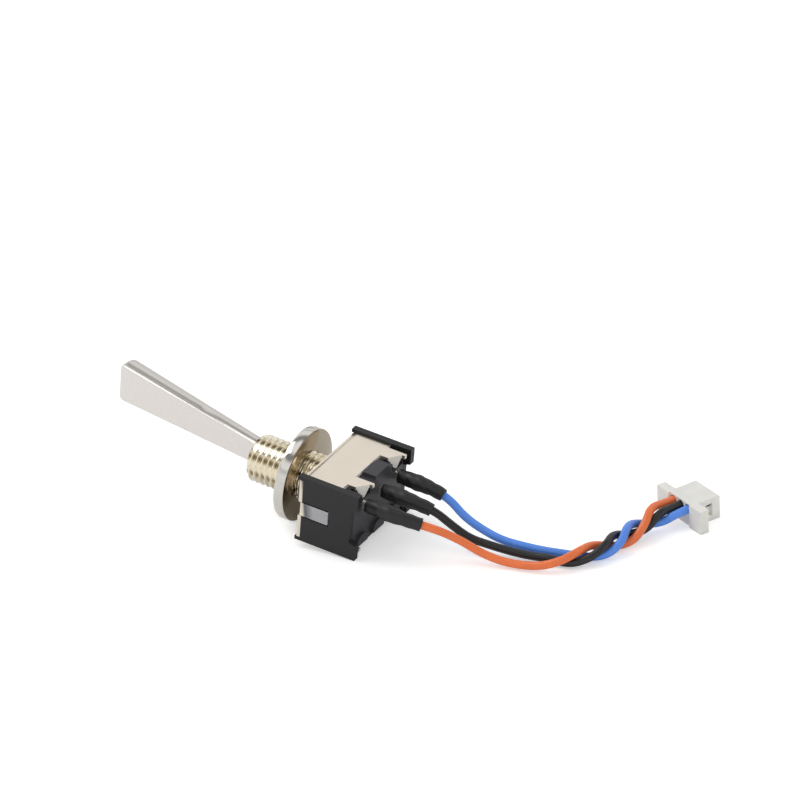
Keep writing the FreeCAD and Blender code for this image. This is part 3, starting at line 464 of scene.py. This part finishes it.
def makeNut():
    # disc: a profile of radius and height turned about the nose axis. The columns crowd at the two slots,
    # whose half angle at a radius is asin(half width / radius), and inside them the front drops.
    radius, bore, back, edge, lip = (nut[key] for key in ("radius", "bore", "back", "edge", "lip"))
    front, floor, inside = back + nut["thick"], back + nut["thick"] - nut["slotDeep"], radius - nut["slotIn"]
    middle = edge * nut["round"]
    rearRim = [(bore, back + lip), (bore + lip, back), (radius - edge, back), (radius - middle, back + middle),
               (radius, back + edge)]
    frontRim = [(radius, floor - edge), (radius, floor), (radius, front - edge), (radius - middle, front - middle),
                (radius - edge, front), (radius - nut["guard"] * edge, front), (inside + nut["step"], front)]
    frontFace = [(inside, front), (inside - nut["step"], front), (bore + lip, front), (bore, front - lip)]
    profile = np.array(rearRim + frontRim + frontFace)
    cut = np.repeat([False, True, False], [len(rearRim), len(frontRim), len(frontFace)])
    half = np.arcsin(nut["slotHalf"] / profile[:, 0])[:, None]
    margin = nut["margin"]
    across = np.array([-margin, -1.0, -1.0, 0, 1.0, 1.0, margin])[None]
    sunk = np.array([0, 0, 1, 1, 1, 0, 0], bool)
    between = np.linspace(0, 1, nut["columns"])[None, 1:-1]
    gap = math.pi - 2 * margin * half
    turn = np.concatenate([half * across, margin * half + gap * between, math.pi + half * across,
                           math.pi + margin * half + gap * between], 1) + math.radians(nut["turn"])
    plain = np.zeros(between.shape[1], bool)
    slot = cut[:, None] & np.concatenate([sunk, plain, sunk, plain])[None]
    height = np.repeat(profile[:, 1:2], turn.shape[1], 1)
    height = np.where(slot, np.minimum(height, floor), height)
    points = np.stack([profile[:, :1] * np.cos(turn), height, -profile[:, :1] * np.sin(turn)], -1)
    mesh = gridMesh("discNut", inSwitch(points), closeRows=True, closeColumns=True)
    addPiece("discNut", mesh, polishedNickel, "body", ["panel_nut"])


makeNut()
print("nut made")

# Millimetres, and angles in degrees. The thread fades in over its run-out; rim and inside are pairs of
# radius and height, the staked rim behind the plate, and the mouth's cone, the ball's seat and the rear bore.
bushing = {"pitch": 0.75, "major": 2.97, "depth": 0.46, "flank": 60, "rootRound": 1.2, "front": 9.5,
           "chamfer": 0.42, "runOutFrom": 0.1, "runOut": 0.5, "columns": 144, "rowsPerPitch": 14,
           # rows of painted reflection in the roots: how many around, the turn of the first, and the share left
           # between them
           "paintedRowCount": 7, "paintedRowTurn": 149, "paintedBetweenRows": 0.03,
           "rim": [(2.32, -0.80), (2.66, -0.80), (2.74, -0.78), (3.26, -0.50), (3.30, -0.46), (2.72, -0.45),
                   (2.70, -0.02)],
           "inside": [(2.30, 9.50), (2.25, 9.45), (1.76, 6.25), (1.82, 6.0), (2.32, 5.7), (2.32, 2.6)]}


def threadRadius(along, turn):
    # crest flat of an eighth of the pitch, straight flanks and a rounded root; the helix climbs a pitch a
    # turn, fades in behind and is cut by the nose's chamfer
    pitch = bushing["pitch"]
    phase = (along / pitch - turn / (2 * math.pi)) % 1
    away = np.abs(phase - 0.5) * pitch
    depth = np.clip((away - pitch / 16) * math.tan(math.radians(bushing["flank"])), 0, bushing["depth"])
    depth = bushing["depth"] * np.sin(depth / bushing["depth"] * math.pi / 2) ** bushing["rootRound"]
    fade = np.clip((along - bushing["runOutFrom"]) / bushing["runOut"], 0, 1)
    radius = bushing["major"] - depth * fade
    nose = bushing["major"] - np.clip(along - (bushing["front"] - bushing["chamfer"]), 0, None)
    return np.minimum(radius, nose)


def makeBushing():
    # revolved profile of radius and height: the rim, the thread outside, and back through the inside
    turn = np.linspace(0, 2 * math.pi, bushing["columns"], endpoint=False)
    rows = int(bushing["front"] / bushing["pitch"] * bushing["rowsPerPitch"])
    along = np.linspace(0, bushing["front"], rows)
    outer = threadRadius(along[:, None], turn[None])
    ring = np.ones(len(turn))
    rim, inside = (np.array(bushing[part])[:, :, None] * ring for part in ("rim", "inside"))
    radius = np.vstack([rim[:, 0], outer, inside[:, 0]])
    height = np.vstack([rim[:, 1], along[:, None] * ring, inside[:, 1]])
    points = np.stack([radius * np.cos(turn), height, radius * np.sin(turn)], -1)
    mesh = gridMesh("threadedBushing", inSwitch(points), closeRows=True, closeColumns=True)
    # painted shade and painted reflection: as deep as the root, and strongest in rows along the bushing, cos(rows *
    # turn) above zero
    paintedShade = np.zeros_like(radius)
    rowLine = np.clip(np.cos(bushing["paintedRowCount"] * (turn - math.radians(bushing["paintedRowTurn"]))), 0, 1)[None]
    deep = np.clip((bushing["major"] - outer) / bushing["depth"], 0, 1)
    between = bushing["paintedBetweenRows"]
    paintedShade[len(rim):len(rim) + rows] = deep * (between + (1 - between) * rowLine)
    mesh.attributes.new("rootPaintedShade", "FLOAT", "POINT").data.foreach_set("value", paintedShade.ravel())
    addPiece("threadedBushing", mesh, goldWash, "body", ["bushing"])


makeBushing()
print("bushing made")

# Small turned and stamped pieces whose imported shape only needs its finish.
nodeFinishes = {
    "lever": satinNickel, "hinge_pin": springSteel, "slider": acetal, "bridge_contact": tinPlate,
    "contact_spring": springSteel, "detent_spring": springSteel, "detent_ball": springSteel,
}
for colour in wireRoutes:
    nodeFinishes.update({f"terminal_{colour}": tinPlate, f"crimp_{colour}": tinPlate,
                         f"conductor_{colour}": tinnedCopper})
for node, material in nodeFinishes.items():
    frame["nodes"][node].material_slots[0].material = material
print("packed pieces finished")

# Even light: a white room whose walls darken towards the floor line, one soft lamp behind the nose, and a
# paper floor that shows white to the camera but still takes the object's shadow. Sizes are in metres, and
# the grey levels run over the room's height and width. The walls give way to panels between the two heights
# of eyeLine.
studio = {
    "paper": "#f7f7f7", "paperRough": 0.9, "paperGloss": 0.1, "paperHalf": 3.0, "paperLift": 0.40,
    "key": 1.7, "keySize": 0.45, "keyPlace": (-0.05, 0.42, 0.66), "keyAim": (0.005, -0.02, 0.005),
    "room": 0.95, "eyeLine": (0.16, 0.26),
    "heights": [(0.0, 0.85), (0.25, 0.95), (0.44, 0.66), (0.56, 1.0), (0.72, 0.92), (0.82, 0.28), (0.91, 0.30),
                (0.97, 1.0)],
    "panels": [(0.0, 0.90), (0.40, 0.90), (0.45, 0.22), (0.56, 0.22), (0.60, 1.0), (0.74, 1.0), (0.80, 0.20),
               (0.92, 0.25), (1.0, 0.85)],
}


def makeFloor():
    material, tree, shader = newMaterial("paperFloor")
    shader.inputs["Base Color"].default_value = toLinear(studio["paper"])
    shader.inputs["Roughness"].default_value = studio["paperRough"]
    shader.inputs["Specular IOR Level"].default_value = studio["paperGloss"]
    rays = addNode(tree, "ShaderNodeLightPath")
    lift = addNode(tree, "ShaderNodeMath", {"operation": "MULTIPLY", 1: studio["paperLift"]},
                   {0: rays.outputs["Is Camera Ray"]})
    tree.links.new(lift.outputs[0], shader.inputs["Emission Strength"])
    shader.inputs["Emission Color"].default_value = (1, 1, 1, 1)
    half = studio["paperHalf"]
    corners = np.array([[(-half, -half, 0), (half, -half, 0)], [(-half, half, 0), (half, half, 0)]], float)
    mesh = gridMesh("floor", corners)
    mesh.flip_normals()
    mesh.materials.append(material)
    item = newObject("floor", mesh)


def makeLamp():
    data = bpy.data.lights.new("keyLamp", "AREA")
    data.size = studio["keySize"]
    data.energy = studio["key"]
    item = newObject("keyLamp", data)
    item.location = studio["keyPlace"]
    item.rotation_mode = "QUATERNION"
    item.rotation_quaternion = (Vector(studio["keyAim"]) - Vector(studio["keyPlace"])).to_track_quat("-Z", "Y")


def fillRamp(node, levels):
    # sets a ramp's grey levels from (place, level) pairs
    stops = node.color_ramp.elements
    for place, level in levels[1:-1]:
        stops.new(place)
    for stop, (place, level) in zip(stops, levels):
        stop.position = place
        stop.color = (level, level, level, 1)


def makeWorld():
    # room's brightness by height: a dark ring round the lamp overhead and bright walls. Below eye level
    # the walls are white panels with dark gaps between them, which the polished metals show as lines.
    world = bpy.data.worlds.new("studio")
    bpy.context.scene.world = world
    world.use_nodes = True
    tree = world.node_tree
    tree.nodes.clear()
    way = addNode(tree, "ShaderNodeTexCoord")
    parts = addNode(tree, "ShaderNodeSeparateXYZ", {}, {"Vector": way.outputs["Generated"]})
    walls = addNode(tree, "ShaderNodeValToRGB", {}, {"Fac": parts.outputs["Z"]})
    fillRamp(walls, studio["heights"])
    across = addNode(tree, "ShaderNodeMapRange", {"From Min": -1.0, "From Max": 1.0}, {"Value": parts.outputs["X"]})
    panels = addNode(tree, "ShaderNodeValToRGB", {}, {"Fac": across.outputs["Result"]})
    fillRamp(panels, studio["panels"])
    lowest, highest = studio["eyeLine"]
    low = addNode(tree, "ShaderNodeMapRange",
                  {"From Min": lowest, "From Max": highest, "To Min": 1.0, "To Max": 0.0},
                  {"Value": parts.outputs["Z"]})
    sky = addNode(tree, "ShaderNodeMix", {"data_type": "RGBA"},
                  {0: low.outputs["Result"], 6: walls.outputs["Color"], 7: panels.outputs["Color"]})
    rays = addNode(tree, "ShaderNodeLightPath")
    room = addNode(tree, "ShaderNodeBackground", {"Strength": studio["room"]}, {"Color": sky.outputs[2]})
    white = addNode(tree, "ShaderNodeBackground", {"Color": (1, 1, 1, 1), "Strength": 1.0})
    mixed = addNode(tree, "ShaderNodeMixShader", {},
                    {0: rays.outputs["Is Camera Ray"], 1: room.outputs[0], 2: white.outputs[0]})
    addNode(tree, "ShaderNodeOutputWorld", {}, {"Surface": mixed.outputs[0]})


makeFloor()
makeLamp()
makeWorld()
bpy.context.scene.view_settings.view_transform = "Standard"
print("floor and light set")
